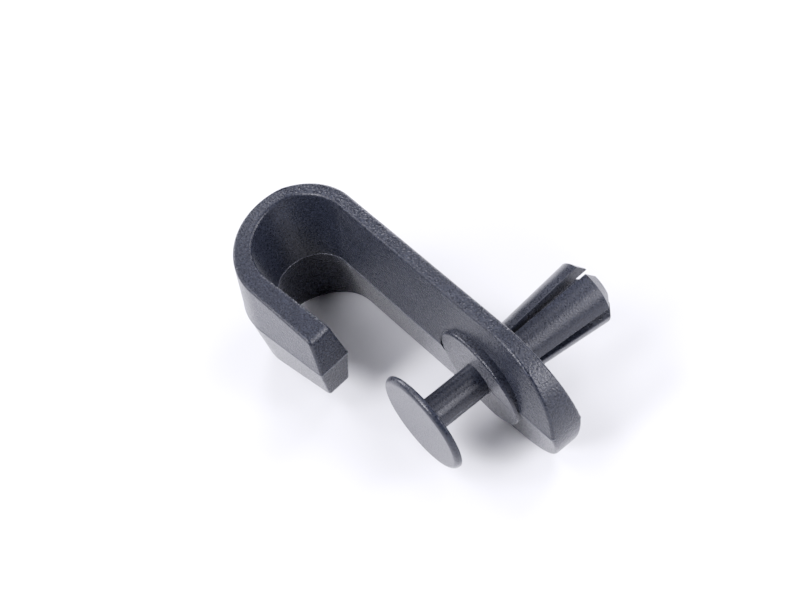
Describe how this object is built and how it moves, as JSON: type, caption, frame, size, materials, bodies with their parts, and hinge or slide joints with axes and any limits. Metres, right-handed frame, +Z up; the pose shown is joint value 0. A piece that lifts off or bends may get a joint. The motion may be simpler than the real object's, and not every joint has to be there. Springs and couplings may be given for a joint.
{
  "type": "push-pin panel hook",
  "caption": "J-shaped plastic hook with an oval collar, a slotted expansion plug behind its long arm and a disc-headed push pin that spreads the plug in a panel hole.",
  "frame": {"origin": "on the hook's lower rim, below the push pin's axis and the middle of the long arm", "axes": "+X along the long arm toward its free end, +Y along the push pin from its head to the plug's end, +Z up from the lower rim that the hook lies on"},
  "size_m": [0.0605, 0.0402, 0.0245],
  "materials": {
    "hook_plastic": "anthracite, fine spark-eroded grain",
    "sleeve_plastic": "anthracite, fine grain on the collar, smoother on the legs",
    "pin_plastic": "anthracite, satin, with a fine parting line"
  },
  "bodies": {
    "hook": {"hook_body": "hook_plastic", "expansion_sleeve": "sleeve_plastic"},
    "pin": {"push_pin": "pin_plastic"},
    "leg_upper_front": {"upper_front_leg": "sleeve_plastic"},
    "leg_upper_rear": {"upper_rear_leg": "sleeve_plastic"},
    "leg_lower_rear": {"lower_rear_leg": "sleeve_plastic"},
    "leg_lower_front": {"lower_front_leg": "sleeve_plastic"}
  },
  "joints": [
    {"name": "pin_slide", "type": "slide", "parent": "hook", "child": "pin", "axis": [0, 1, 0], "range_m": [0, 0.0095]},
    {"name": "upper_front_squeeze", "type": "hinge", "parent": "hook", "child": "leg_upper_front", "pos_m": [0.0024, 0.0031, 0.01465], "axis": [-0.7071, 0, 0.7071], "range_deg": [0, 2.4], "stiffness_Nm_per_rad": 0.4},
    {"name": "upper_rear_squeeze", "type": "hinge", "parent": "hook", "child": "leg_upper_rear", "pos_m": [-0.0024, 0.0031, 0.01465], "axis": [-0.7071, 0, -0.7071], "range_deg": [0, 2.4], "stiffness_Nm_per_rad": 0.4},
    {"name": "lower_rear_squeeze", "type": "hinge", "parent": "hook", "child": "leg_lower_rear", "pos_m": [-0.0024, 0.0031, 0.00985], "axis": [0.7071, 0, -0.7071], "range_deg": [0, 2.4], "stiffness_Nm_per_rad": 0.4},
    {"name": "lower_front_squeeze", "type": "hinge", "parent": "hook", "child": "leg_lower_front", "pos_m": [0.0024, 0.0031, 0.00985], "axis": [0.7071, 0, 0.7071], "range_deg": [0, 2.4], "stiffness_Nm_per_rad": 0.4}
  ],
  "couplings": [
    {"joint": "upper_rear_squeeze", "follows": "upper_front_squeeze", "ratio": 1},
    {"joint": "lower_rear_squeeze", "follows": "upper_front_squeeze", "ratio": 1},
    {"joint": "lower_front_squeeze", "follows": "upper_front_squeeze", "ratio": 1}
  ]
}
